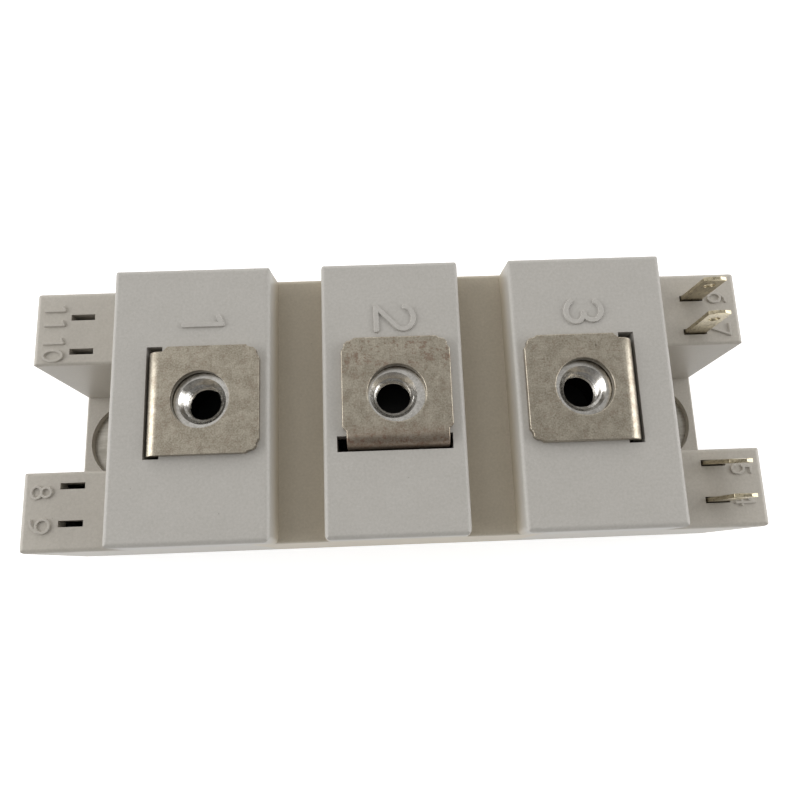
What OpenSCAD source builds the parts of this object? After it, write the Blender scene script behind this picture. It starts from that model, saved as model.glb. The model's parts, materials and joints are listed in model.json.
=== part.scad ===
// Half-bridge power module in the 34 mm screw-mounted package.
// The origin is at the centre of the base plate's underside. +X points to the fitted tabs, +Z up.

/* [Package] */
// Length of the module
package_l = 94; // [93:0.5:100]
// Width of the module
package_w = 34; // [33.5:0.5:38]
// Thickness of the base plate
base_t = 3; // [2.5:0.1:4]
// Gap between the base plate's edge and the housing's outline
base_inset = 0.2; // [0:0.05:0.6]
// Height of the three blocks above the mounting face
block_top = 29.4; // [28:0.1:32]
// Height of the four ears above the mounting face
ear_top = 22.6; // [18:0.1:23.5]
// Height of the groove floors above the mounting face
groove_floor = 24.7; // [24:0.1:26]
// Thickness of the flange over the base plate
flange_t = 1.2; // [0.8:0.1:2.5]
// Length of the ears, from the package's ends to the blocks' tops
ear_l = 12.9; // [12.5:0.1:13.5]
// Width of the middle block, at its top
mid_block_w = 17; // [16:0.1:18]
// Width of the outer blocks, at their tops
outer_block_w = 19.2; // [18.8:0.1:20]

/* [Moulding] */
// Draft of the end walls, in degrees
draft = 0.5; // [0.2:0.1:1]
// Draft of the groove walls, in degrees
groove_draft = 5; // [1:0.5:8]
// Radius of the upright corners
corner_r = 0.8; // [0.7:0.1:1.4]
// Radius along the top edges
edge_r = 0.6; // [0.4:0.1:0.8]
// Radius of the ears' edges beside the notch
notch_r = 0.4; // [0.2:0.05:0.5]
// Thickness of the outer walls
wall = 1.9; // [1.5:0.1:2.2]
// Thickness of the wall between an ear's hollow and the screw's notch
notch_wall = 1.2; // [0.8:0.1:1.2]
// Thickness of the block ends beside a terminal's slot
block_wall = 1.6; // [1.2:0.1:1.6]
// Thickness of the roofs of blocks, grooves and ears
roof_t = 2.3; // [1.8:0.1:2.4]

/* [Mounting] */
// Distance of the mounting holes from the package's ends
mount_end = 7; // [6.5:0.1:7.5]
// Diameter of the mounting holes in the base plate
mount_d = 6.4; // [5.5:0.1:7]
// Diameter of the round recess in the flange
recess_d = 12; // [11:0.1:12]
// Height of the recess's cut in the foot of the block's end wall
recess_rise = 1; // [0.5:0.1:2]
// Width of the notch between two ears
notch_w = 14; // [13:0.1:14.2]

/* [Main terminals] */
// Distance of the outer terminals' screws from the end of the blocks
terminal_end = 11.1; // [10.7:0.1:11.3]
// Thickness of the terminal plates
plate_t = 1; // [0.8:0.1:1.2]
// Width of a plate across its bend
plate_w = 13.2; // [12.6:0.1:13.4]
// Reach of the plate's free end from the screw axis
plate_reach = 7; // [6.5:0.1:7.4]
// Reach of the leg's outer face from the screw axis
leg_reach = 6.5; // [6.3:0.1:6.6]
// Width of terminal 2's leg where it enters the housing
leg_w = 12.2; // [11:0.1:12.4]
// Width of the outer terminals' legs there, which are flush with the plate's front edge
outer_leg_w = 12.6; // [11:0.1:12.6]
// Width of the outer terminals' legs where they stand on their pads
foot_w = 8; // [6:0.5:9]
// Width of terminal 2's leg below its waist
stem_w = 3; // [2:0.1:3.2]
// Diameter of the hole in the plate
plate_hole_d = 7; // [5.5:0.1:7.2]
// Length of the 45 degree cut at the free corners
plate_chamfer = 1.1; // [0.5:0.1:2]
// Outer radius of the bend
bend_r = 1.6; // [1.4:0.1:1.8]
// Distance from the leg's outer face to where the plate narrows
shoulder = 2.5; // [1.6:0.1:3]
// How far terminal 2 lies to the right in its slot
shift_2 = 0.4; // [0:0.1:0.5]
// Clearance between a leg's outer face and its slot
leg_gap = 0.3; // [0.2:0.05:0.4]
// Length of the slots around the legs
slot_l = 13.8; // [13.6:0.1:13.8]

/* [Nuts] */
// Width of a nut across its flats
nut_af = 8; // [7.8:0.1:8.2]
// Height of a nut
nut_h = 4; // [3.5:0.1:4.5]
// Diameter of the threaded bore, at the crests
thread_d = 4.2; // [4:0.05:4.4]
// Diameter of the bore's chamfered mouths
mouth_d = 5.7; // [5.2:0.1:6]
// Clearance around a nut in its pocket
nut_gap = 0.1; // [0.05:0.05:0.2]
// Clearance between a nut and the plate above it
nut_drop = 0.3; // [0.2:0.1:0.5]
// Diameter of the well under a nut
well_d = 6.8; // [6:0.1:7]
// Depth of the well below the block's top
well_depth = 11; // [9:0.5:12]
// Outer diameter of the cup that holds a nut
cup_d = 12.4; // [12:0.1:13]

/* [Tabs] */
// Distance of the tabs from the package's end
tab_end = 6.4; // [6:0.1:6.7]
// Distance of the inner tabs from the notch
tab_inset = 1.8; // [1.7:0.05:2]
// Distance of the outer tabs from the package's long side
tab_side = 3.5; // [3.3:0.1:3.8]
// Height of the tab tips above the mounting face
tab_top = 30.5; // [29:0.1:32]
// Width of a tab
tab_w = 2.8; // [2.6:0.1:3]
// Thickness of a tab
tab_t = 0.5; // [0.4:0.05:0.6]
// Clearance around a tab in its slot
tab_gap = 0.15; // [0.1:0.05:0.2]
// Diameter of the hole near a tab's tip
tab_hole_d = 1.4; // [1:0.1:1.5]
// Distance of that hole from the tip
tab_hole_drop = 2.2; // [1.8:0.1:3]
// Lean of tab 4 towards the front, in degrees
lean_4 = 1.5; // [0:0.5:8]
// Lean of tab 5 towards the front, in degrees
lean_5 = 6.5; // [0:0.5:8]
// Lean of tab 6 towards the front, in degrees
lean_6 = 2.5; // [0:0.5:8]
// Lean of tab 7 towards the front, in degrees
lean_7 = 0; // [0:0.5:8]
// Width of a tab's lead inside the housing
lead_w = 1.2; // [0.8:0.1:1.6]

/* [Circuit] */
// Distance of the ceramics' ends from the end of the blocks
end_room = 4.9; // [4.7:0.1:5.9]
// Clearance between the ceramics and the long walls
side_room = 0.8; // [0.7:0.1:1]
// Thickness of the ceramic
ceramic_t = 0.6; // [0.4:0.05:0.8]
// Thickness of the copper on both sides of the ceramic
foil_t = 0.3; // [0.2:0.05:0.4]
// Gap between the two substrates
substrate_gap = 2.4; // [2:0.1:3]
// Bare rim of ceramic around the copper
rim = 0.5; // [0.3:0.05:0.6]
// Thickness of the chips
chip_t = 0.3; // [0.15:0.05:0.4]
// Diameter of the bond wires
wire_d = 0.4; // [0.3:0.05:0.5]
// Height of the wire loops above the tracks
loop_h = 2; // [1.5:0.1:2.4]
// Height of the gel's surface above the mounting face
gel_top = 14; // [11:0.5:15]
// Room that the gel leaves around the circuit, the legs and the leads
gel_gap = 0.2; // [0.1:0.05:0.4]

/* [Hidden] */
$fn = 48;

// How far a cutting form runs past the face that it cuts.
over = 1;

flange_top = base_t + flange_t;
pad_top = base_t + 2 * foil_t + ceramic_t;
plate_top = block_top + plate_t;
blocks_l = package_l - 2 * ear_l;
groove_w = (blocks_l - mid_block_w) / 2 - outer_block_w;
mount_x = package_l / 2 - mount_end;
terminal_pitch = blocks_l / 2 - terminal_end;
tab_x = package_l / 2 - tab_end;
tab_y_in = notch_w / 2 + tab_inset;
tab_y_out = package_w / 2 - tab_side;

// Limits of the high side's ceramic and of the copper on it, then the pads' limits along Y. The
// collector pad lies between the inner strips, and the emitter pad between two strips.
ceramic_y = [wall + side_room - package_w / 2, package_w / 2 - wall - side_room];
sub_x = [substrate_gap / 2, blocks_l / 2 - end_room];
foil_x = sub_x + [rim, -rim];
foil_y = ceramic_y + [rim, -rim];
strip_w = 1;
strip_gap = [0.7, 0.8];
collector_y = [strip_w - tab_y_in, tab_y_in - strip_w];
emitter_y = [tab_y_in + strip_w / 2 + strip_gap[0], tab_y_out - strip_w / 2 - strip_gap[1]];
emitter_end = 5;
wire_end_y = (emitter_y[0] + emitter_y[1]) / 2;
// Rim of a pad that stays free around a foot.
pad_rim = 0.2;
// Centres and sizes of the chips, which stand in two columns.
column_x = [7.2, 17.2];
igbt_size = [8, 7];
igbt_y = -3.4;
diode_size = [6, 5.4];
diode_y = 3.9;
chip_top = pad_top + chip_t;

housing_colour = [0.69, 0.68, 0.65];
plated_colour = [0.62, 0.59, 0.55];
tab_colour = [0.72, 0.68, 0.52];
copper_colour = [0.85, 0.55, 0.33];

// A terminal's own frame has +X towards its leg and the screw axis at the origin. Terminals 1 and 3
// are mirror images, and terminal 2 is turned to the front.
module at_terminal(k) {
    translate([(k - 2) * terminal_pitch, 0, 0])
        mirror([k == 1 ? 1 : 0, 0, 0])
            rotate([0, 0, k == 2 ? -90 : 0])
                children();
}

// Both ends of the package and both long sides, by mirror.
module both_ends() {
    for (side = [0, 1])
        mirror([side, 0, 0])
            children();
}
module both_sides() {
    for (side = [0, 1])
        mirror([0, side, 0])
            children();
}

// Extrudes an outline drawn in X and Z along Y, or one drawn in Y and Z along X.
module along_y(from, to) {
    translate([0, to, 0])
        rotate([90, 0, 0])
            linear_extrude(to - from)
                children();
}
module along_x(from, to) {
    translate([from, 0, 0])
        rotate([90, 0, 90])
            linear_extrude(to - from)
                children();
}

// The limits of something as wide as width, centred on middle.
function around(middle, width) = [middle - width / 2, middle + width / 2];

// A box given by its limits.
module span(x, y, z) {
    translate([x[0], y[0], z[0]])
        cube([x[1] - x[0], y[1] - y[0], z[1] - z[0]]);
}

// A rectangle given by its limits, with corners of radius r[0] along its low y and r[1] along its high y.
module round_rect(x, y, r) {
    middle = (y[0] + y[1]) / 2;
    translate([x[0], y[0] + r[0]])
        square([x[1] - x[0], y[1] - y[0] - r[0] - r[1]]);
    translate([x[0] + r[0], y[0]])
        square([x[1] - x[0] - 2 * r[0], middle - y[0]]);
    translate([x[0] + r[1], middle])
        square([x[1] - x[0] - 2 * r[1], y[1] - middle]);
    for (at = [[x[0] + r[0], 0], [x[1] - r[0], 0], [x[0] + r[1], 1], [x[1] - r[1], 1]])
        translate([at[0], at[1] == 0 ? y[0] + r[0] : y[1] - r[1]])
            circle(r[at[1]]);
}

/* Base plate */

module base_plate() {
    half_l = package_l / 2 - base_inset;
    half_w = package_w / 2 - base_inset;
    color([0.48, 0.46, 0.43])
        difference() {
            linear_extrude(base_t)
                round_rect([-half_l, half_l], [-half_w, half_w], [corner_r, corner_r]);
            both_ends()
                translate([mount_x, 0, -over])
                    cylinder(d = mount_d, h = base_t + 2 * over);
        }
}

/* Housing */

// Section of a form whose top corners at[0] and at[1] are rounded by r[0] and r[1]. Below them it
// reaches out to low and high.
module crowned(at, low, high, top, r) {
    middle = (at[0] + at[1]) / 2;
    translate([low, base_t])
        square([high - low, top - max(r) - base_t]);
    translate([at[0] + r[0], base_t])
        square([at[1] - at[0] - r[0] - r[1], top - base_t]);
    for (side = [0, 1]) {
        inward = side == 0 ? 1 : -1;
        translate([min(at[side], middle), base_t])
            square([abs(middle - at[side]), top - r[side] - base_t]);
        translate([at[side] + inward * r[side], top - r[side]])
            circle(r[side]);
    }
}

// A moulded form on the base plate. End wall i stands at x[i] at the height from[i] and leans in
// by lean[i] degrees; the walls at y are upright. Its top edges have the radius r and its upright
// corners corner_r, apart from those along the low or the high y, which have side_r where it isn't 0.
module moulded(x, y, top, lean = [draft, draft], from = [base_t, base_t], r = edge_r, side_r = [0, 0]) {
    z = top - r;
    // The top rounding starts a hair outside the leaning wall, so that the two always cross.
    hair = 0.01;
    at = [
        x[0] + (z - from[0]) * tan(lean[0]) - hair,
        x[1] - (z - from[1]) * tan(lean[1]) + hair
    ];
    beyond = 5;
    far = x[1] - x[0] + beyond;
    corners = [for (own = side_r) own > 0 ? own : corner_r];
    edges = [for (own = side_r) own > 0 ? own : r];
    intersection() {
        translate([x[0], 0, from[0]])
            rotate([0, lean[0], 0])
                translate([0, 0, -top])
                    linear_extrude(2 * top)
                        round_rect([0, far], y, corners);
        translate([x[1], 0, from[1]])
            rotate([0, -lean[1], 0])
                translate([0, 0, -top])
                    linear_extrude(2 * top)
                        round_rect([-far, 0], y, corners);
        along_y(y[0], y[1])
            crowned(at, x[0] - beyond, x[1] + beyond, top, [r, r]);
        along_x(x[0] - beyond, x[1] + beyond)
            crowned(y, y[0], y[1], top, edges);
    }
}

// Half the length over the blocks, at the base plate.
blocks_half = blocks_l / 2 + (block_top - base_t) * tan(draft);
// Where the groove walls stand at the groove floor: beside the middle block and beside an outer one.
groove_slope = (block_top - groove_floor) * tan(groove_draft);
groove_x = [mid_block_w / 2 + groove_slope, mid_block_w / 2 + groove_w - groove_slope];

// Limits of block k along the length: at its foot for an end wall, at the groove floor for a groove wall.
function block_x(k) =
    k == 1 ? [-blocks_half, -groove_x[1]] : k == 3 ? [groove_x[1], blocks_half] : [-groove_x[0], groove_x[0]];
function block_lean(k) =
    k == 1 ? [draft, groove_draft] : k == 3 ? [groove_draft, draft] : [groove_draft, groove_draft];
function block_from(k) =
    k == 1 ? [base_t, groove_floor] : k == 3 ? [groove_floor, base_t] : [groove_floor, groove_floor];
// Limits of block k at its top.
function block_top_x(k) =
    let (outer = [mid_block_w / 2 + groove_w, blocks_l / 2])
    k == 1 ? [-outer[1], -outer[0]] : k == 3 ? outer : [-mid_block_w / 2, mid_block_w / 2];

module outer_form() {
    half_l = package_l / 2;
    across = [-package_w / 2, package_w / 2];
    // The blocks' corners along the back are as sharp as their top edges.
    for (k = [1:3])
        moulded(block_x(k), across, block_top, block_lean(k), block_from(k), side_r = [0, edge_r]);
    // The body between the blocks, up to the groove floors.
    body_half = groove_x[1] + 3 * corner_r;
    moulded([-body_half, body_half], across, groove_floor, [0, 0]);
    moulded([-half_l, half_l], across, flange_top, r = flange_t / 4);
    both_ends()
        both_sides()
            moulded(
                [blocks_half - 4 * corner_r, half_l], [notch_w / 2, package_w / 2],
                ear_top, [0, draft], side_r = [notch_r, 0]
            );
}

// Plans of the hollows under the blocks and in the ear at +X, +Y.
hollow_r = 0.8;
hollow_half = [blocks_half - wall, package_w / 2 - wall];
module body_plan(x = [-hollow_half[0], hollow_half[0]]) {
    round_rect(x, [-hollow_half[1], hollow_half[1]], [hollow_r, hollow_r]);
}
module ear_plan() {
    round_rect(
        [hollow_half[0] - 2 * hollow_r, package_l / 2 - wall],
        [notch_w / 2 + notch_wall, hollow_half[1]], [hollow_r, hollow_r]
    );
}

// Everything that is hollow from below: body, blocks and ears.
module hollows() {
    module hollow(top) {
        translate([0, 0, base_t - over])
            linear_extrude(top - base_t + over)
                children();
    }
    hollow(groove_floor - roof_t)
        body_plan();
    for (k = [1:3])
        hollow(block_top - roof_t)
            body_plan(block_top_x(k) + [block_wall, -block_wall]);
    both_ends()
        both_sides()
            hollow(ear_top - roof_t)
                ear_plan();
}

// The pocket, the well and the slot that serve one terminal. The slot starts where the bend does.
module terminal_cuts() {
    pocket_floor = block_top - nut_drop - nut_h;
    slot_x = [leg_reach - bend_r, leg_reach + leg_gap];
    translate([0, 0, pocket_floor])
        rotate([0, 0, 30])
            cylinder(d = (nut_af + 2 * nut_gap) / cos(30), h = block_top, $fn = 6);
    translate([0, 0, block_top - well_depth])
        cylinder(d = well_d, h = well_depth);
    span(slot_x, around(0, slot_l), [block_top - well_depth - wall - over, block_top + over]);
}

module housing() {
    // The cups hang from inside the roofs and close under the wells.
    cup_top = block_top - roof_t / 2;
    cup_floor = block_top - well_depth - wall;
    slot = [tab_w + 2 * tab_gap, tab_t + 2 * tab_gap];
    color(housing_colour)
        difference() {
            union() {
                difference() {
                    outer_form();
                    hollows();
                }
                for (k = [1:3])
                    at_terminal(k)
                        translate([0, 0, cup_floor])
                            cylinder(d = cup_d, h = cup_top - cup_floor);
            }
            for (k = [1:3])
                at_terminal(k)
                    terminal_cuts();
            both_ends() {
                both_sides()
                    for (y = [tab_y_in, tab_y_out])
                        translate([tab_x - slot[0] / 2, y - slot[1] / 2, ear_top - roof_t - over])
                            cube([slot[0], slot[1], roof_t + 2 * over]);
                translate([mount_x, 0, base_t - over])
                    cylinder(d = recess_d, h = over + flange_t + recess_rise);
            }
        }
}

/* Main terminals */

// Level stretch on which a leg steps sideways, over the wire loops.
run_rise = 0.6;
run_z = [pad_top + loop_h + run_rise, pad_top + loop_h + run_rise + plate_t];

// Side view of a terminal: plate, bend, leg, level run, drop and foot. The drop's outer face is
// low_reach from the screw axis, and the foot ends at toe.
module terminal_profile(low_reach, toe) {
    leg = [leg_reach - plate_t, leg_reach];
    drop = [low_reach - plate_t, low_reach];
    centre = [leg_reach - bend_r, plate_top - bend_r];
    module bar(x, z) {
        translate([x[0], z[0]])
            square([x[1] - x[0], z[1] - z[0]]);
    }
    bar([-plate_reach, centre[0]], [block_top, plate_top]);
    translate(centre)
        intersection() {
            difference() {
                circle(bend_r);
                circle(bend_r - plate_t);
            }
            square(bend_r);
        }
    bar(leg, [run_z[0], centre[1]]);
    bar([min(leg[0], drop[0]), max(leg[1], drop[1])], run_z);
    bar(drop, [pad_top, run_z[1]]);
    bar([min(drop[0], toe), max(drop[1], toe)], [pad_top, pad_top + plate_t]);
}

// Plan of the plate: free corners cut, and narrower towards the bend, where the leg's limits are leg_y.
module terminal_plan(leg_y) {
    edge = around(0, plate_w);
    cut = plate_chamfer;
    narrow = leg_reach - shoulder;
    difference() {
        union() {
            polygon([
                [-plate_reach, edge[0] + cut], [cut - plate_reach, edge[0]], [narrow, edge[0]],
                [narrow, edge[1]], [cut - plate_reach, edge[1]], [-plate_reach, edge[1] - cut]
            ]);
            translate([0, leg_y[0]])
                square([leg_reach, leg_y[1] - leg_y[0]]);
            // Each step in width runs at 45 degrees.
            for (side = [0, 1])
                if (abs(edge[side] - leg_y[side]) > 0.01)
                    polygon([
                        [narrow - plate_t, 0], [narrow - plate_t, edge[side]], [narrow, edge[side]],
                        [narrow + abs(edge[side] - leg_y[side]), leg_y[side]]
                    ]);
        }
        circle(d = plate_hole_d);
    }
}

// One terminal in its own frame. Its leg has the limits leg_y down to its waist, and foot_y from there on.
waist_rise = 2;
waist = gel_top + waist_rise;
module terminal(leg_y, foot_y, low_reach, toe) {
    room = [-plate_w, plate_w];
    color(plated_colour)
        intersection() {
            along_y(-plate_w, plate_w)
                terminal_profile(low_reach, toe);
            union() {
                translate([0, 0, block_top - plate_t])
                    linear_extrude(3 * plate_t)
                        terminal_plan(leg_y);
                span(room, leg_y, [waist, block_top - plate_t / 2]);
                span(room, foot_y, [0, waist]);
            }
        }
}

// The outer terminals step in over their ceramic and stand on its collector pad, clear of the chips.
step_in = 1.5;
foot_clear = 2.8;
outer_foot_y = around(0, foot_w);
outer_toe = column_x[1] + igbt_size[0] / 2 + foot_clear - terminal_pitch;
module outer_terminal(k) {
    at_terminal(k)
        terminal([-plate_w / 2, outer_leg_w - plate_w / 2], outer_foot_y, leg_reach - step_in, outer_toe);
}

// Terminal 2 lies a little off centre. Its stem passes beside the wires and stands on the low
// side's emitter pad.
stem_inner = -foil_x[0] - shift_2 - pad_rim;
stem_y = [stem_inner - stem_w, stem_inner];
module terminal_2() {
    translate([shift_2, 0, 0])
        at_terminal(2)
            terminal(around(0, leg_w), stem_y, wire_end_y, emitter_y[1] - pad_rim);
}

/* Nuts */

// A hexagon nut: corners bevelled at both faces, bore with chamfered mouths.
module nut(k) {
    corner = nut_af / cos(30) / 2;
    bevel = corner - nut_af / 2;
    mouth = (mouth_d - thread_d) / 2;
    color([0.78, 0.78, 0.76])
        at_terminal(k)
            translate([0, 0, block_top - nut_drop - nut_h])
                rotate([0, 0, 30])
                    difference() {
                        intersection() {
                            cylinder(r = corner, h = nut_h, $fn = 6);
                            rotate_extrude()
                                polygon([
                                    [0, 0], [corner - bevel, 0], [corner, bevel / 2],
                                    [corner, nut_h - bevel / 2], [corner - bevel, nut_h], [0, nut_h]
                                ]);
                        }
                        translate([0, 0, -1])
                            cylinder(d = thread_d, h = nut_h + 2);
                        for (z = [0, nut_h])
                            translate([0, 0, z])
                                rotate_extrude()
                                    polygon([
                                        [0, -mouth], [thread_d / 2, -mouth], [mouth_d / 2, 0],
                                        [thread_d / 2, mouth], [0, mouth]
                                    ]);
                    }
}

/* Control tabs */

bend_rise = 0.5;
bend_z = ear_top + bend_rise;
// The lead runs level at lead_z to lead_land, where it turns down to its strip.
lead_rise = 0.8;
lead_inset = 1.5;
lead_z = [pad_top + lead_rise, pad_top + lead_rise + lead_w];
lead_land = [sub_x[1] - lead_inset - lead_w, sub_x[1] - lead_inset];
shoulder_h = 3;
shoulder_out = 0.6;
// The tip's corner cuts and its bevel: each along the tip and down from it.
tip_cut = [0.9, 0.4];
tip_bevel = [0.06, 0.3];

// Outline of the lead inside the housing: shoulder under the ear's roof, drop, run and foot.
module lead_outline() {
    roof = ear_top - roof_t;
    shoulder_z = roof - shoulder_h;
    blade_x = around(tab_x, tab_w);
    wide_x = blade_x + [-shoulder_out, shoulder_out];
    drop_x = around(tab_x, lead_w);
    polygon([
        [blade_x[0], bend_z], [blade_x[0], roof], [wide_x[0], roof], [wide_x[0], shoulder_z],
        [drop_x[0], shoulder_z], [drop_x[0], lead_z[1]], [lead_land[0], lead_z[1]], [lead_land[0], pad_top],
        [lead_land[1], pad_top], [lead_land[1], lead_z[0]], [drop_x[1], lead_z[0]], [drop_x[1], shoulder_z],
        [wide_x[1], shoulder_z], [wide_x[1], roof], [blade_x[1], roof], [blade_x[1], bend_z]
    ]);
}

// The blade above its bend, from z = 0: cut corners, bevelled tip, round hole.
module blade() {
    h = tab_top - bend_z;
    module tipped(half, cut) {
        polygon([
            [-half, 0], [half, 0], [half, h - cut[1]],
            [half - cut[0], h], [cut[0] - half, h], [-half, h - cut[1]]
        ]);
    }
    difference() {
        intersection() {
            along_y(-tab_t, tab_t)
                tipped(tab_w / 2, tip_cut);
            along_x(-tab_w, tab_w)
                tipped(tab_t / 2, tip_bevel);
        }
        translate([0, 0, h - tab_hole_drop])
            rotate([90, 0, 0])
                cylinder(d = tab_hole_d, h = 4 * tab_t, center = true);
    }
}

module tab(y, lean) {
    color(tab_colour)
        translate([0, y, 0]) {
            along_y(-tab_t / 2, tab_t / 2)
                lead_outline();
            translate([tab_x, 0, bend_z]) {
                rotate([0, 90, 0])
                    cylinder(d = tab_t, h = tab_w, center = true);
                rotate([lean, 0, 0])
                    blade();
            }
        }
}

/* Substrates and chips. All of this is the high side; the low side is the same, turned half round. */

module low_side() {
    rotate([0, 0, 180])
        children();
}

module back_copper() {
    color(copper_colour)
        span(foil_x, foil_y, [base_t, base_t + foil_t]);
}

module ceramic() {
    color([0.93, 0.93, 0.9])
        span(sub_x, ceramic_y, [base_t + foil_t, base_t + foil_t + ceramic_t]);
}

module track(x, y) {
    span(x, y, [pad_top - foil_t, pad_top]);
}
module strip(y) {
    track(foil_x, around(y, strip_w));
}

// Sense and gate strips in front, collector pad, emitter pad. Two more strips behind, on the
// high side only, carry the low side's gate and sense lines past it.
module tracks(strips_behind) {
    color(copper_colour) {
        strip(-tab_y_out);
        strip(-tab_y_in);
        track(foil_x, collector_y);
        track([foil_x[0], foil_x[1] - emitter_end], emitter_y);
        if (strips_behind) {
            strip(tab_y_in);
            strip(tab_y_out);
        }
    }
}

module chip(x, y, size) {
    translate([x - size[0] / 2, y - size[1] / 2, pad_top])
        cube([size[0], size[1], chip_t]);
}
module igbt(k) {
    color([0.35, 0.36, 0.4])
        chip(column_x[k - 1], igbt_y, igbt_size);
}
module diode(k) {
    color([0.5, 0.5, 0.52])
        chip(column_x[k - 1], diode_y, diode_size);
}

// A bond wire along Y from height z0 to height z1: the arc of a ring, cut off flat at both feet.
// A short wire rises less, by steepest times its reach.
module wire(x, y, z0, z1) {
    steepest = 0.45;
    reach = y[1] - y[0];
    high = max(z0, z1);
    rise = min(loop_h - (high - pad_top), steepest * reach);
    ring_r = (reach * reach / 4 + rise * rise) / (2 * rise);
    mid = (y[0] + y[1]) / 2;
    color([0.85, 0.85, 0.85])
        intersection() {
            translate([x, mid, high + rise - ring_r])
                rotate([0, 90, 0])
                    rotate_extrude($fn = 96)
                        translate([ring_r, 0])
                            circle(d = wire_d, $fn = 16);
            union() {
                span([x - wire_d, x + wire_d], [y[0] - wire_d, mid], [z0, z0 + 2 * loop_h]);
                span([x - wire_d, x + wire_d], [mid, y[1] + wire_d], [z1, z1 + 2 * loop_h]);
            }
        }
}

// Two wires on each switch chip run over its diode to the emitter pad. Feet are placed from the chips' centres.
module emitter_wires() {
    beside = 1.6;
    igbt_foot = 1;
    diode_feet = [-0.8, 1];
    for (x = column_x, dx = [-beside, beside]) {
        wire(x + dx, [igbt_y + igbt_foot, diode_y + diode_feet[0]], chip_top, chip_top);
        wire(x + dx, [diode_y + diode_feet[1], wire_end_y], chip_top, pad_top);
    }
}

// One wire from each gate to the gate strip, and one sense wire to the outer strip.
module gate_wires() {
    gate_dy = 2.4;
    sense_dx = 3;
    gate_y = igbt_y - gate_dy;
    for (x = column_x)
        wire(x, [-tab_y_in, gate_y], pad_top, chip_top);
    wire(column_x[0] + sense_dx, [-tab_y_out, gate_y], pad_top, chip_top);
}

// Wires that carry the low side's two strips across the gap between the substrates.
module link_wires() {
    inland = 1.2;
    half = substrate_gap / 2 + inland;
    for (y = [tab_y_in, tab_y_out])
        translate([0, y, 0])
            rotate([0, 0, 90])
                wire(0, [-half, half], pad_top, pad_top);
}

// A bent copper clip from the high side's emitter pad over to the low side's collector pad.
module bridge_clip() {
    clip_t = 0.6;
    deck_rise = 0.4;
    inland = 1;
    low_inset = [3, 0.5];
    deck_z = pad_top + loop_h + deck_rise;
    high_y = emitter_y + [pad_rim, -pad_rim];
    low_y = [collector_y[1] - low_inset[0], collector_y[1] - low_inset[1]];
    half = foil_x[0] + inland;
    color(copper_colour) {
        span([-half, half], [low_y[0], high_y[1]], [deck_z, deck_z + clip_t]);
        span([half - clip_t, half], high_y, [pad_top, deck_z + clip_t]);
        span([-half, clip_t - half], low_y, [pad_top, deck_z + clip_t]);
    }
}

/* Gel */

// Silicone gel fills the hollow up to gel_top. It leaves room for the wired circuit, the legs and the leads.
module gel() {
    circuit = [sub_x[1] + gel_gap, ceramic_y[1] + gel_gap, run_z[1] + gel_gap];
    leg = [leg_reach - plate_t - gel_gap, leg_reach + gel_gap];
    gaps = [-gel_gap, gel_gap];
    leg_z = [0, gel_top + over];
    color([0.9, 0.92, 0.95])
        difference() {
            translate([0, 0, base_t])
                linear_extrude(gel_top - base_t) {
                    body_plan();
                    both_ends()
                        both_sides()
                            ear_plan();
                }
            span([-circuit[0], circuit[0]], [-circuit[1], circuit[1]], [0, circuit[2]]);
            for (k = [1, 3])
                at_terminal(k)
                    span(leg, outer_foot_y + gaps, leg_z);
            translate([shift_2, 0, 0])
                at_terminal(2)
                    span(leg, stem_y + gaps, leg_z);
            both_sides()
                for (y = [tab_y_in, tab_y_out]) {
                    side = around(y, tab_t) + gaps;
                    drop = around(tab_x, lead_w) + gaps;
                    span(drop, side, [lead_z[0] - gel_gap, gel_top + over]);
                    span([lead_land[0], drop[1]], side, lead_z + gaps);
                }
        }
}

base_plate();
housing();
gel();
outer_terminal(1);  // terminal_1
terminal_2();
outer_terminal(3);  // terminal_3
nut(1);  // nut_1
nut(2);  // nut_2
nut(3);  // nut_3
tab(-tab_y_out, lean_4);  // tab_4
tab(-tab_y_in, lean_5);  // tab_5
tab(tab_y_out, lean_6);  // tab_6
tab(tab_y_in, lean_7);  // tab_7
back_copper();  // back_copper_high
ceramic();  // ceramic_high
tracks(true);  // tracks_high
igbt(1);  // igbt_high_1
igbt(2);  // igbt_high_2
diode(1);  // diode_high_1
diode(2);  // diode_high_2
emitter_wires();  // emitter_wires_high
gate_wires();  // gate_wires_high
low_side() back_copper();  // back_copper_low
low_side() ceramic();  // ceramic_low
low_side() tracks(false);  // tracks_low
low_side() igbt(1);  // igbt_low_1
low_side() igbt(2);  // igbt_low_2
low_side() diode(1);  // diode_low_1
low_side() diode(2);  // diode_low_2
low_side() emitter_wires();  // emitter_wires_low
low_side() gate_wires();  // gate_wires_low
bridge_clip();
link_wires();
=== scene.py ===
# Dresses the half-bridge power module: camera, light, floor, the finish of every solid,
# and the pieces whose shapes are finer than the frame's: nuts, terminals, tabs and numerals.
import json
import math

import bmesh
import bpy
import numpy as np
from mathutils import Matrix, Vector


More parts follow.
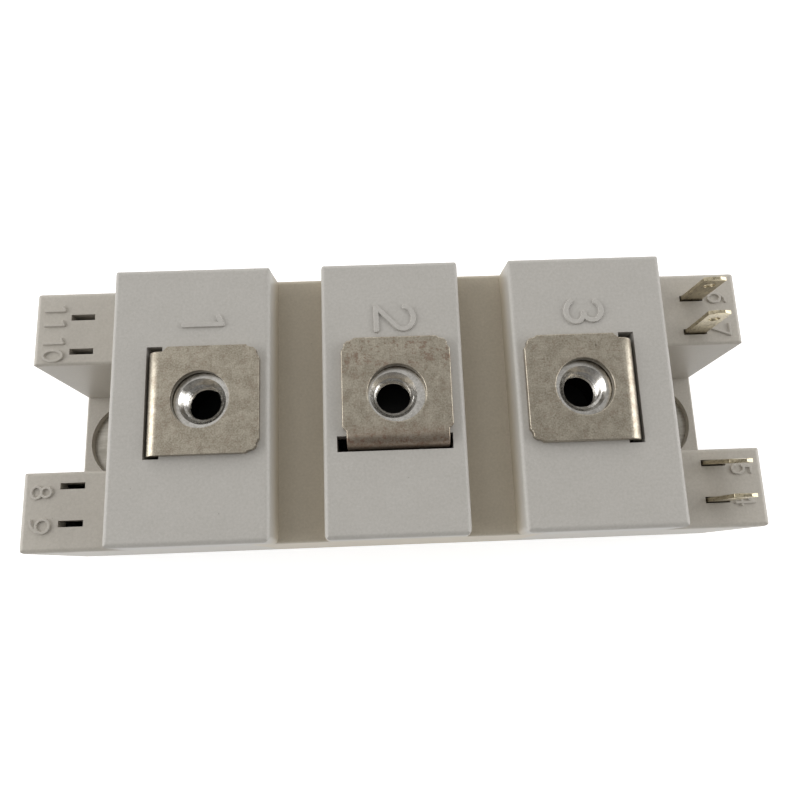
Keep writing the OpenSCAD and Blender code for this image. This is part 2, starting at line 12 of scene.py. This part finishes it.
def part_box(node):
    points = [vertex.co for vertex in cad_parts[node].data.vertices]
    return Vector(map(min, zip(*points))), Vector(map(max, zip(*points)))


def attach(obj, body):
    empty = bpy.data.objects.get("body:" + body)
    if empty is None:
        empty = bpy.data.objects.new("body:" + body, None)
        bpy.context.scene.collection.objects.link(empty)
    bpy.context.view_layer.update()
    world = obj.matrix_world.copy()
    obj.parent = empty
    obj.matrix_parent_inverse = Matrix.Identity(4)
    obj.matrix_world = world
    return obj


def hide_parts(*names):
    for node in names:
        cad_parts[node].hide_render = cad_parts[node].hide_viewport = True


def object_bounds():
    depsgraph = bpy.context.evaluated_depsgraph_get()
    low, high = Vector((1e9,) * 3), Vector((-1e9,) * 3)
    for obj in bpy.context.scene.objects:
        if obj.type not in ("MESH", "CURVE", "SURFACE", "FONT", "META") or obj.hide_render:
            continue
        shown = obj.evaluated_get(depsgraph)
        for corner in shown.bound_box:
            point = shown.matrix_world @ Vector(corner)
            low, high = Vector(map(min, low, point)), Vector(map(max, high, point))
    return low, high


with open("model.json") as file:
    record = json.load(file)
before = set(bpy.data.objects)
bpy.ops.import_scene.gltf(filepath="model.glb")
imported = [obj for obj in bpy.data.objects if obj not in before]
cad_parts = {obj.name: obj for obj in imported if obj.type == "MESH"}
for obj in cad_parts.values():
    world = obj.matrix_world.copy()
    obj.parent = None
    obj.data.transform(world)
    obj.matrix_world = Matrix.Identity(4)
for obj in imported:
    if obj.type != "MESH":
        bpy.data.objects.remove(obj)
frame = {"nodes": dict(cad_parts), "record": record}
cadLow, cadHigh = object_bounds()
nodes = frame["nodes"]
mm = 0.001
terminalPitch = 23  # from one screw axis to the next, in mm
print("frame loaded:", len(nodes), "solids")


cameraSetup = {
    "place": (-1.0821, -20.3231, 114.7633),  # of the lens, in mm
    "turn": -5.341,  # degrees about the upright axis
    "tilt": 12.977,  # degrees away from straight down, towards the back
    "roll": 3.263,  # degrees about the line of sight
    "lens": 32.804,  # focal length in mm on a 36 mm wide sensor
}


def makeCamera(setup):
    turn, tilt, roll = (math.radians(setup[name]) for name in ("turn", "tilt", "roll"))
    right = Vector((math.cos(turn), math.sin(turn), 0))
    ahead = Vector((-math.sin(turn) * math.sin(tilt), math.cos(turn) * math.sin(tilt), -math.cos(tilt)))
    up = right.cross(ahead)
    rolledRight = right * math.cos(roll) + up * math.sin(roll)
    rolledUp = up * math.cos(roll) - right * math.sin(roll)
    lens = bpy.data.cameras.new("camera")
    lens.sensor_width = 36
    lens.lens = setup["lens"]
    lens.clip_start = 0.005
    lens.clip_end = 20
    camera = bpy.data.objects.new("camera", lens)
    bpy.context.scene.collection.objects.link(camera)
    axes = Matrix((rolledRight, rolledUp, -ahead)).transposed().to_4x4()
    camera.matrix_world = Matrix.Translation(Vector(setup["place"]) * mm) @ axes
    bpy.context.scene.camera = camera


makeCamera(cameraSetup)
print("camera placed")


class Signal:
    # one output of a node; sums, products and so on of signals add Math nodes
    def __init__(self, finish, socket):
        self.finish = finish
        self.socket = socket

    def combine(self, operation, first, second=0.0):
        return self.finish.add("ShaderNodeMath", {"operation": operation}, {0: first, 1: second})

    def __add__(self, other):
        return self.combine("ADD", self, other)

    def __radd__(self, other):
        return self.combine("ADD", other, self)

    def __sub__(self, other):
        return self.combine("SUBTRACT", self, other)

    def __rsub__(self, other):
        return self.combine("SUBTRACT", other, self)

    def __mul__(self, other):
        return self.combine("MULTIPLY", self, other)

    def __rmul__(self, other):
        return self.combine("MULTIPLY", other, self)

    def __truediv__(self, other):
        return self.combine("DIVIDE", self, other)

    def __rtruediv__(self, other):
        return self.combine("DIVIDE", other, self)

    def __pow__(self, other):
        return self.combine("POWER", self, other)

    def size(self):
        return self.combine("ABSOLUTE", self)

    def lesser(self, other):
        return self.combine("MINIMUM", self, other)

    def greater(self, other):
        return self.combine("MAXIMUM", self, other)

    def ramp(self, start, end):
        # 0 at start, 1 at end, smooth in between; start may be the larger
        settings = {"interpolation_type": "SMOOTHSTEP"}
        sockets = {"Value": self, "From Min": start, "From Max": end, "To Min": 0.0, "To Max": 1.0}
        if start > end:
            sockets.update({"From Min": end, "From Max": start, "To Min": 1.0, "To Max": 0.0})
        return self.finish.add("ShaderNodeMapRange", settings, sockets)


class Finish:
    # one material or world; add() makes any node from its type, its settings and its sockets
    def __init__(self, name, owner=None):
        self.owner = owner or bpy.data.materials.new(name)
        self.owner.use_nodes = True
        self.tree = self.owner.node_tree
        self.tree.nodes.clear()

    def add(self, kind, settings=None, sockets=None, output=0):
        node = self.tree.nodes.new(kind)
        for name, value in (settings or {}).items():
            setattr(node, name, value)
        for name, value in (sockets or {}).items():
            self.feed(node.inputs[name], value)
        return Signal(self, node.outputs[output]) if len(node.outputs) else None

    def feed(self, socket, value):
        if isinstance(value, Signal):
            self.tree.links.new(value.socket, socket)
        elif isinstance(value, tuple) and len(value) == 3 and len(socket.default_value) == 4:
            socket.default_value = (*value, 1.0)
        else:
            socket.default_value = value

    def place(self, stretch=(1.0, 1.0, 1.0)):
        # the point on the object in millimetres, stretched if asked
        here = self.add("ShaderNodeTexCoord", output="Object")
        scale = tuple(factor / mm for factor in stretch)
        return self.add("ShaderNodeVectorMath", {"operation": "MULTIPLY"}, {0: here, 1: scale})

    def axes(self):
        here = self.place()
        return [self.add("ShaderNodeSeparateXYZ", sockets={0: here}, output=axis) for axis in range(3)]

    def noise(self, grain, detail=2.0, roughness=0.5, warp=0.0, stretch=(1.0, 1.0, 1.0)):
        # cloudy pattern about 0.5, with patches about grain millimetres across
        sockets = {"Vector": self.place(stretch), "Scale": 1.0 / grain, "Detail": detail}
        sockets.update({"Roughness": roughness, "Distortion": warp})
        return self.add("ShaderNodeTexNoise", sockets=sockets)

    def spots(self, spacing, radius, chance):
        # 1 inside round specks of that radius, one to a cell at most, in a share of the cells
        settings = {"voronoi_dimensions": "3D", "feature": "F1"}
        sockets = {"Vector": self.place(), "Scale": 1.0 / spacing}
        away = self.add("ShaderNodeTexVoronoi", settings, sockets, output="Distance")
        tint = self.add("ShaderNodeTexVoronoi", settings, sockets, output="Color")
        draw = self.add("ShaderNodeSeparateColor", sockets={0: tint}, output=0)
        return away.ramp(radius / spacing, 0.4 * radius / spacing) * draw.ramp(chance, 0.9 * chance)

    def mix(self, first, second, share, how="MIX"):
        settings = {"data_type": "RGBA", "blend_type": how, "clamp_factor": False}
        return self.add("ShaderNodeMix", settings, {0: share, 6: first, 7: second}, output=2)

    def bump(self, height, depth, strength=1.0, under=None):
        # height from 0 to 1 stands for depth millimetres
        sockets = {"Height": height, "Distance": depth * mm, "Strength": strength}
        if under:
            sockets["Normal"] = under
        return self.add("ShaderNodeBump", sockets=sockets)

    def surface(self, sockets):
        shader = self.add("ShaderNodeBsdfPrincipled", sockets=sockets)
        self.add("ShaderNodeOutputMaterial", sockets={"Surface": shader})
        return self.owner


def linear(code):
    # a colour written as six hexadecimal digits, as linear red, green and blue
    shades = [int(code[at:at + 2], 16) / 255 for at in (0, 2, 4)]
    return tuple(v / 12.92 if v <= 0.04045 else ((v + 0.055) / 1.055) ** 2.4 for v in shades)


lightSetup = {
    "sky": (0.455, 0.449, 0.438),  # overhead
    "skyLean": (-0.8, 1.3),  # how much brighter it gets towards +X and towards +Y
    "horizonSides": (2.6, 2.6, 2.55),  # low down, to the left and right
    "horizonEnds": (0.4, 0.38, 0.37),  # low down, to the front and back
    "horizonTop": 0.22,  # height of the bright band, as the sine of its elevation
    "lamps": {  # place in metres, width and height in metres, watts
        "lamp_left": ((-0.56, 0.02, 0.29), (0.46, 0.38), 1.85),
        "lamp_right": ((0.56, 0.02, 0.29), (0.46, 0.38), 1.85),
        "lamp_back": ((0.02, 0.66, 0.36), (0.60, 0.30), 0.7),
    },
    "floorTint": (0.82, 0.82, 0.82),
    "floorGlow": 0.62,  # added for the camera and for reflections, so the lit floor is white
}


def makeLight(setup):
    world = bpy.data.worlds.new("studio")
    bpy.context.scene.world = world
    sky = Finish("studio", world)
    direction = sky.add("ShaderNodeTexCoord", output="Generated")
    east, north, height = (sky.add("ShaderNodeSeparateXYZ", sockets={0: direction}, output=axis)
                           for axis in range(3))
    low = height.ramp(setup["horizonTop"], 0.3 * setup["horizonTop"])
    lean = (1.0 + east * setup["skyLean"][0] + north * setup["skyLean"][1]).greater(0.45).lesser(1.7)
    overhead = sky.mix((0.0, 0.0, 0.0, 1.0), (*setup["sky"], 1.0), lean)
    around = sky.mix((*setup["horizonEnds"], 1.0), (*setup["horizonSides"], 1.0), east * east)
    tint = sky.mix(overhead, around, low)
    glow = sky.add("ShaderNodeBackground", sockets={"Color": tint, "Strength": 1.0})
    sky.add("ShaderNodeOutputWorld", sockets={"Surface": glow})
    for name, (place, extent, watts) in setup["lamps"].items():
        lamp = bpy.data.lights.new(name, "AREA")
        lamp.shape = "RECTANGLE"
        lamp.size, lamp.size_y = extent
        lamp.energy = watts
        holder = bpy.data.objects.new(name, lamp)
        bpy.context.scene.collection.objects.link(holder)
        holder.location = place
        holder.rotation_euler = (-Vector(place)).to_track_quat("-Z", "Y").to_euler()


def makeFloor(setup):
    half = 4.0
    low = cadLow[2] - 0.00002
    mesh = bpy.data.meshes.new("floor")
    corners = [(-half, -half, low), (half, -half, low), (half, half, low), (-half, half, low)]
    mesh.from_pydata(corners, [], [(0, 1, 2, 3)])
    floor = bpy.data.objects.new("floor", mesh)
    bpy.context.scene.collection.objects.link(floor)
    paint = Finish("floor_paint")
    ray = [paint.add("ShaderNodeLightPath", output=kind)
           for kind in ("Is Camera Ray", "Is Glossy Ray", "Is Transmission Ray")]
    matt = paint.add("ShaderNodeBsdfDiffuse", sockets={"Color": (*setup["floorTint"], 1.0)})
    seen = (ray[0] + ray[1] + ray[2]).lesser(1.0) * setup["floorGlow"]
    glow = paint.add("ShaderNodeEmission", sockets={"Color": (1.0, 1.0, 1.0, 1.0), "Strength": seen})
    both = paint.add("ShaderNodeAddShader", sockets={0: matt, 1: glow})
    paint.add("ShaderNodeOutputMaterial", sockets={"Surface": both})
    mesh.materials.append(paint.owner)


bpy.context.scene.view_settings.view_transform = "Standard"
makeLight(lightSetup)
makeFloor(lightSetup)
print("light and floor set")


plasticLook = {
    "tone": linear("A9A6A0"),
    "paleTone": linear("BAB7B2"),
    "earLiftTint": (1.06, 1.03, 0.98),  # painted light: the ears are made a little brighter and warmer, lifting the shade the blocks cast on them
    # painted shade: the grooves between the blocks are tinted warmer and yellower, the colour of their shade
    "grooveShadeTint": (1.06, 0.98, 0.83),
    "wellShadeTint": (0.02, 0.02, 0.02),  # painted shade, near black, in the wells under the nuts, which no light reaches
    "wellRadius": 3.7,
    "wellTop": 29.6,
    "speck": linear("77706A"),
    "roughness": 0.42,
}


def mouldedPlastic(look):
    finish = Finish("moulded_plastic")
    across, along, height = finish.axes()
    cloud = finish.noise(3.5, 3.0)
    mottle = finish.noise(0.32, 3.0, 0.7)
    tone = finish.mix((*look["tone"], 1.0), (*look["paleTone"], 1.0), (cloud * 0.4 + mottle * 1.6 - 0.5))
    specks = finish.spots(1.3, 0.09, 0.16)
    tone = finish.mix(tone, (*look["speck"], 1.0), specks * 0.7)
    # painted light: the ears and all below their tops are made a little brighter and warmer
    earLift = height.ramp(23.6, 22.6)
    tone = finish.mix(tone, (*look["earLiftTint"], 1.0), earLift, "MULTIPLY")
    # painted shade: below the block tops, in the grooves between the blocks, the plastic is tinted warmer and
    # yellower
    grooveShade = height.ramp(29.0, 25.0) * across.size().ramp(18.0, 17.0)
    tone = finish.mix(tone, (*look["grooveShadeTint"], 1.0), grooveShade, "MULTIPLY")
    # the distance from the nearest screw axis, of the three along X
    aside = (across.size() - terminalPitch / 2).size() - terminalPitch / 2
    fromAxis = (aside * aside + along * along) ** 0.5
    radius, top = look["wellRadius"], look["wellTop"]
    # painted shade: the plastic round each screw axis, below the wells' top, is made near black
    wellShade = fromAxis.ramp(radius + 0.1, radius) * height.ramp(top, top - 0.4)
    tone = finish.mix(tone, (*look["wellShadeTint"], 1.0), wellShade, "MULTIPLY")
    grain = finish.noise(0.16, 2.0, 0.6)
    swell = finish.noise(1.6, 2.0)
    relief = finish.bump(swell, 0.03, under=finish.bump(grain, 0.006))
    return finish.surface({
        "Base Color": tone, "Roughness": look["roughness"] + (mottle - 0.5) * 0.25, "Normal": relief,
    })


platedLook = {
    "bright": linear("C6BFB0"),
    "dull": linear("8E8576"),
    "stainAndShade": linear("7A5F4F"),
    "pit": linear("5A5148"),
    "roughness": 0.36,
}


def platedTerminal(look):
    # fine crystals all over; brown stains gather on the middle plate, most of all at its back; its front and
    # bend are darker brown still, partly stain and partly painted shade where the bend faces the dark front
    finish = Finish("plated_terminal")
    across, along, height = finish.axes()
    crystals = finish.noise(0.2, 4.0, 0.75)
    patches = finish.noise(1.6, 4.0, 0.65, 0.4)
    freckles = finish.noise(0.75, 5.0, 0.75)
    tone = finish.mix((*look["dull"], 1.0), (*look["bright"], 1.0),
                      (crystals.ramp(0.32, 0.68) * 0.65 + patches.ramp(0.35, 0.65) * 0.35))
    middle = across.size().ramp(9.0, 8.0)
    # partly real stain, partly painted shade: the front of the middle plate and its bend are painted darker
    # brown
    frontStainAndShade = along.ramp(-3.0, -6.2) * middle
    back = along.ramp(0.5, 5.0) * middle
    stainAndShade = freckles.ramp(0.5, 0.62) * (0.22 + back * 0.45 + frontStainAndShade * 0.3) + frontStainAndShade * 0.45
    tone = finish.mix(tone, (*look["stainAndShade"], 1.0), stainAndShade.lesser(0.85))
    pits = finish.spots(2.2, 0.16, 0.3)
    tone = finish.mix(tone, (*look["pit"], 1.0), pits * 0.6)
    relief = finish.bump(crystals, 0.008, under=finish.bump(patches, 0.012))
    return finish.surface({
        "Base Color": tone, "Metallic": 1.0 - stainAndShade.lesser(0.85) * 0.25,
        "Roughness": look["roughness"] + (crystals - 0.5) * 0.25 + stainAndShade.lesser(0.85) * 0.1, "Normal": relief,
    })


def metal(name, bright, dull, roughness, grain, stretch=(1.0, 1.0, 1.0), depth=0.004):
    # plain plated or rolled metal: two tones in patches, with fine lines along the rolling direction
    finish = Finish(name)
    lines = finish.noise(grain, 3.0, 0.6, stretch=stretch)
    patches = finish.noise(2.2, 3.0, 0.6)
    tone = finish.mix((*dull, 1.0), (*bright, 1.0), (lines * 0.5 + patches * 0.5).ramp(0.3, 0.7))
    return finish.surface({
        "Base Color": tone, "Metallic": 1.0, "Roughness": roughness + (lines - 0.5) * 0.25,
        "Normal": finish.bump(lines, depth),
    })


def ceramicBody():
    finish = Finish("substrate_ceramic")
    grains = finish.noise(0.2, 3.0)
    tone = finish.mix((*linear("DAD8D0"), 1.0), (*linear("F0EEE8"), 1.0), grains)
    return finish.surface({
        "Base Color": tone, "Roughness": 0.45 + grains * 0.2, "Normal": finish.bump(grains, 0.003),
    })


def siliconDie():
    finish = Finish("silicon")
    cells = finish.noise(0.1, 1.0, stretch=(1.0, 4.0, 1.0))
    tone = finish.mix((*linear("3C3E46"), 1.0), (*linear("6A6D76"), 1.0), cells)
    return finish.surface({
        "Base Color": tone, "Metallic": 0.6, "Roughness": 0.22 + cells * 0.1,
        "Normal": finish.bump(cells, 0.001),
    })


def gelFill():
    finish = Finish("silicone_gel")
    haze = finish.noise(4.0, 2.0)
    tone = finish.mix((*linear("D9DDD8"), 1.0), (*linear("E6E8E2"), 1.0), haze)
    return finish.surface({
        "Base Color": tone, "Roughness": 0.12 + haze * 0.08, "Alpha": 0.55,
        "Normal": finish.bump(haze, 0.05),
    })


finishes = {
    "housing_plastic": mouldedPlastic(plasticLook),
    "plated_terminal": platedTerminal(platedLook),
    "nickel_plate": metal("nickel_plate", linear("CFCBC2"), linear("A8A398"), 0.34, 0.3, (0.15, 1.0, 1.0)),
    "zinc_nut": metal("zinc_nut", linear("E2E0DC"), linear("B9B6B0"), 0.22, 0.35, (1.0, 1.0, 0.5)),
    "tab_metal": metal("tab_metal", linear("CFC5AA"), linear("9C917A"), 0.3, 0.25, (1.0, 1.0, 0.25)),
    "copper": metal("copper", linear("D08A64"), linear("B0704C"), 0.35, 0.3, (0.2, 1.0, 1.0)),
    "substrate_ceramic": ceramicBody(),
    "silicon": siliconDie(),
    "bond_wire": metal("bond_wire", linear("D5D6D8"), linear("B4B6BA"), 0.3, 0.2),
    "silicone_gel": gelFill(),
}
slotOf = {part["node"]: part["material_slot"] for part in frame["record"]["subparts"]}
for name, solid in nodes.items():
    solid.data.materials.clear()
    solid.data.materials.append(finishes[slotOf[name]])
print("finishes on", len(nodes), "solids")


def addPiece(name, mesh, slot):
    piece = bpy.data.objects.new(name, mesh)
    bpy.context.scene.collection.objects.link(piece)
    mesh.materials.clear()
    mesh.materials.append(finishes[slot])
    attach(piece, "root")
    return piece


def ringGrid(name, points):
    # points[i, j] with both directions closed on themselves, as a mesh with outward faces
    rows, columns = points.shape[:2]
    i, j = np.meshgrid(np.arange(rows), np.arange(columns), indexing="ij")
    nextI, nextJ = (i + 1) % rows, (j + 1) % columns
    here, nextRow, both, nextColumn = (
        row * columns + column for row, column in ((i, j), (nextI, j), (nextI, nextJ), (i, nextJ)))
    faces = np.stack([here, nextRow, both, nextColumn], axis=-1)
    mesh = bpy.data.meshes.new(name)
    mesh.from_pydata(points.reshape(-1, 3).tolist(), [], faces.reshape(-1, 4).tolist())
    return mesh


def topAt(x, y):
    # height of the housing's surface under the point x, y
    hit, where, _, _ = nodes["housing"].ray_cast(Vector((x, y, 0.05)), Vector((0, 0, -1)))
    return where.z


nutShape = {
    "thread": 4.2,  # inside diameter, mm
    "root": 5.0,  # diameter at the bottom of the thread
    "pitch": 0.8,
    "mouth": 5.7,  # diameter of the countersink at both ends
    "corner": 0.5,  # how far the hexagon's corners are turned off at top and bottom
    "turnedSlope": 1.2,
    "flatness": 1.35,  # over 1, so crests and roots of the thread are flat
    "crestShare": 0.15,
    "turns": 256,  # points round
    "rise": 96,  # points along the bore
}


def makeNut(k, shape):
    # Radius as a function of the angle and of a walk round the section: up the outside, in over the top,
    # down the bore, and out under the bottom. The outside is flats / cos(angle from the flat's middle).
    # The bore is thread radius + depth * a triangle wave of (height / pitch - angle / full turn).
    low, high = (np.array(corner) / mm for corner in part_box("nut_%d" % k))
    middle = (low + high) / 2
    flatsAlongY = high[1] - low[1] < high[0] - low[0]
    flat = min(high[0] - low[0], high[1] - low[1]) / 2
    corner = flat / math.cos(math.pi / 6)
    angle = np.linspace(0, 2 * np.pi, shape["turns"], endpoint=False)
    fromFlat = (angle - (np.pi / 6 if flatsAlongY else 0) + np.pi / 6) % (np.pi / 3) - np.pi / 6
    hexagon = flat / np.cos(fromFlat)
    bottom, top = low[2], high[2]
    outHeight = np.linspace(bottom, top, 24)
    fromEnd = np.minimum(outHeight - bottom, top - outHeight)
    turned = corner - np.clip(shape["corner"] - fromEnd, 0, None) * shape["turnedSlope"]
    outRadius = np.minimum(hexagon[:, None], turned[None, :])
    boreRadius, rootRadius, mouthRadius = shape["thread"] / 2, shape["root"] / 2, shape["mouth"] / 2
    inHeight = np.linspace(top, bottom, shape["rise"])
    phase = (inHeight[None, :] / shape["pitch"] - angle[:, None] / (2 * np.pi)) % 1.0
    wave = np.clip(shape["flatness"] * np.abs(2 * phase - 1) - shape["crestShare"], 0, 1)
    cone = mouthRadius - np.minimum(top - inHeight, inHeight - bottom)
    inRadius = np.maximum(boreRadius + (rootRadius - boreRadius) * wave, cone[None, :])
    radius = np.concatenate([outRadius, inRadius], axis=1)
    height = np.broadcast_to(np.concatenate([outHeight, inHeight]), radius.shape)
    x = middle[0] + radius * np.cos(angle)[:, None]
    y = middle[1] + radius * np.sin(angle)[:, None]
    points = np.stack([x, y, height], axis=-1) * mm
    nut = addPiece("nut_%d_threaded" % k, ringGrid("nut_%d_threaded" % k, points), "zinc_nut")
    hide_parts("nut_%d" % k)


for k in (1, 2, 3):
    makeNut(k, nutShape)
print("nuts made")


# In mm: radius of the eased edges, and radius of the corners higher than above and further than
# beyond from the screw. The angle, in degrees, is the least that counts as an edge.
sheetEdges = {
    "terminal": {"edge": 0.14, "segments": 3, "angle": 40, "corner": 0.5, "above": 29.0,
                 "beyond": 4},
    "tab": {"edge": 0.06, "segments": 2, "angle": 40, "corner": 0, "above": 0, "beyond": 0},
}


def dressSheet(node, slot, edges, screw=(0, 0), away=(0, 0)):
    # the frame's own shape, joined up, with the sheared edges eased and the free corners, which lie
    # away from the screw, rounded
    mesh = nodes[node].data.copy()
    mesh.name = node + "_sheet"
    shell = bmesh.new()
    shell.from_mesh(mesh)
    bmesh.ops.remove_doubles(shell, verts=shell.verts, dist=0.000002)
    bmesh.ops.dissolve_limit(shell, angle_limit=math.radians(0.5), verts=shell.verts, edges=shell.edges)
    sharp = []
    for edge in shell.edges:
        first, second = (end.co / mm for end in edge.verts)
        upright = math.hypot(first.x - second.x, first.y - second.y) < 0.01 < abs(first.z - second.z)
        reach = (first.x - screw[0]) * away[0] + (first.y - screw[1]) * away[1]
        if upright and first.z > edges["above"] and reach > edges["beyond"]:
            sharp.append(edge)
    if sharp:
        bmesh.ops.bevel(shell, geom=sharp, offset=edges["corner"] * mm, segments=3, affect="EDGES")
    shell.to_mesh(mesh)
    shell.free()
    piece = addPiece(node + "_sheet", mesh, slot)
    ease = piece.modifiers.new("edges", "BEVEL")
    ease.width = edges["edge"] * mm
    ease.segments = edges["segments"]
    ease.limit_method = "ANGLE"
    ease.angle_limit = math.radians(edges["angle"])
    ease.harden_normals = True
    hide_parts(node)
    return piece


for k in (1, 2, 3):
    dressSheet("terminal_%d" % k, "plated_terminal", sheetEdges["terminal"], (terminalPitch * (k - 2), 0),
               (2 - k, 1 if k == 2 else 0))
for k in (4, 5, 6, 7):
    dressSheet("tab_%d" % k, "tab_metal", sheetEdges["tab"])
print("terminals and tabs made")


numeralSetup = {
    "raise": 0.3,  # height above the surface, mm
    "blockStroke": 0.62,  # stroke width on the blocks, mm
    "earStroke": 0.36,
    "soft": 0.09,  # width of the sloping sides, mm
    "step": 0.035,  # grid spacing, mm
    "margin": 0.12,  # around the strokes, mm
    "sunk": 0.04,  # how far the grid lies under the surface where there is no stroke, mm
    "depth": 0.3,  # of the closing grid under the surface, mm
    "marks": {  # foot's x, top's x, left side's y, right side's y, in mm
        "1": [("1", -25.7, -20.35, 10.8, 9.2)],
        "2": [("2", -2.1, 3.1, 11.45, 7.8)],
        "3": [("3", 21.4, 26.4, 11.4, 8.0)],
        "4": [("4", 42.66, 45.4, -12.83, -14.43)],
        "5": [("5", 42.66, 45.4, -9.05, -10.44)],
        "6": [("6", 42.66, 45.4, 14.25, 12.66)],
        "7": [("7", 42.66, 45.4, 9.87, 8.08)],
        "8": [("8", -45.81, -42.97, -8.6, -10.44)],
        "9": [("9", -45.81, -42.97, -12.73, -14.72)],
        "10": [("1", -45.66, -42.82, 10.67, 9.77), ("0", -45.66, -42.82, 9.17, 7.38)],
        "11": [("1", -45.66, -42.82, 15.15, 14.25), ("1", -45.66, -42.82, 13.16, 12.26)],
    },
}


def arc(x, y, width, height, start, end):
    # points on an ellipse about x, y, from start to end degrees
    turn = np.radians(np.linspace(start, end, 24))
    return [(x + width * math.cos(t), y + height * math.sin(t)) for t in turn]


glyphs = {  # strokes in a box one wide and one high
    "0": [arc(0.5, 0.5, 0.5, 0.5, 0, 360)],
    "1": [[(0.0, 0.9), (1.0, 1.0), (1.0, 0.0)]],
    "2": [arc(0.5, 0.72, 0.48, 0.28, 170, -40) + [(0.0, 0.0), (1.0, 0.0)]],
    "3": [arc(0.46, 0.74, 0.46, 0.26, 155, -75) + arc(0.48, 0.26, 0.5, 0.26, 75, -155)],
    "4": [[(0.75, 0.0), (0.75, 1.0), (0.0, 0.3), (1.0, 0.3)]],
    "5": [[(0.92, 1.0), (0.2, 1.0), (0.08, 0.55)] + arc(0.45, 0.32, 0.53, 0.32, 125, -150)],
    "6": [arc(0.95, 0.34, 0.95, 0.62, 92, 170) + arc(0.5, 0.34, 0.5, 0.34, 170, 530)],
    "7": [[(0.0, 1.0), (1.0, 1.0), (0.35, 0.0)]],
    "8": [arc(0.5, 0.75, 0.4, 0.25, -90, 270), arc(0.5, 0.26, 0.5, 0.26, -90, 270)],
    "9": [arc(0.05, 0.66, 0.95, 0.62, -88, -10) + arc(0.5, 0.66, 0.5, 0.34, -10, 350)],
}


def makeNumeral(name, marks, setup):
    # Height over a grid: raise * a smooth step of (half stroke - distance to the nearest stroke), sunk
    # just under the surface where there is no stroke. A flat grid below, inside the moulding, closes it.
    stroke = setup["blockStroke"] if len(name) == 1 and int(name) <= 3 else setup["earStroke"]
    xs = [x for mark in marks for x in mark[1:3]]
    ys = [y for mark in marks for y in mark[3:5]]
    margin = setup["margin"]
    x = np.arange(min(xs) - margin, max(xs) + margin, setup["step"])
    y = np.arange(min(ys) - margin, max(ys) + margin, setup["step"])
    gridX, gridY = np.meshgrid(x, y, indexing="ij")
    nearest = np.full(gridX.shape, 9.0)
    for glyph, foot, top, left, right in marks:
        for path in glyphs[glyph]:
            u, v = np.array(path).T
            lineX = foot + stroke / 2 + v * (top - foot - stroke)
            lineY = left - stroke / 2 - u * (left - right - stroke)
            ax, ay, dx, dy = lineX[:-1], lineY[:-1], np.diff(lineX), np.diff(lineY)
            px, py = gridX[..., None] - ax, gridY[..., None] - ay
            share = np.clip((px * dx + py * dy) / np.maximum(dx * dx + dy * dy, 1e-9), 0, 1)
            away = np.hypot(px - share * dx, py - share * dy).min(axis=-1)
            nearest = np.minimum(nearest, away)
    soft = setup["soft"]
    slope = np.clip((stroke / 2 - nearest) / soft + 0.35, 0, 1)
    rise = setup["raise"] * np.sin(slope * np.pi / 2) - setup["sunk"]
    base = topAt((min(xs) + max(xs)) / 2 * mm, (min(ys) + max(ys)) / 2 * mm) / mm
    upper = np.stack([gridX, gridY, base + rise], axis=-1)
    lower = upper.copy()
    lower[..., 2] = base - setup["depth"]
    rows, columns = gridX.shape
    index = np.arange(rows * columns).reshape(rows, columns)
    quads = np.stack([index[:-1, :-1], index[1:, :-1], index[1:, 1:], index[:-1, 1:]], axis=-1).reshape(-1, 4)
    count = rows * columns
    rim = np.concatenate([index[:-1, 0], index[-1, :-1], index[:0:-1, -1], index[0, :0:-1]])
    after = np.roll(rim, -1)
    walls = np.stack([rim, rim + count, after + count, after], axis=-1)
    faces = np.concatenate([quads, quads[:, ::-1] + count, walls])
    mesh = bpy.data.meshes.new("numeral_" + name)
    points = np.concatenate([upper.reshape(-1, 3), lower.reshape(-1, 3)]) * mm
    mesh.from_pydata(points.tolist(), [], faces.tolist())
    mesh.polygons.foreach_set("use_smooth", np.arange(len(faces)) < len(quads))
    addPiece("numeral_" + name, mesh, "housing_plastic")


for name, marks in numeralSetup["marks"].items():
    makeNumeral(name, marks, numeralSetup)
print("numerals made")
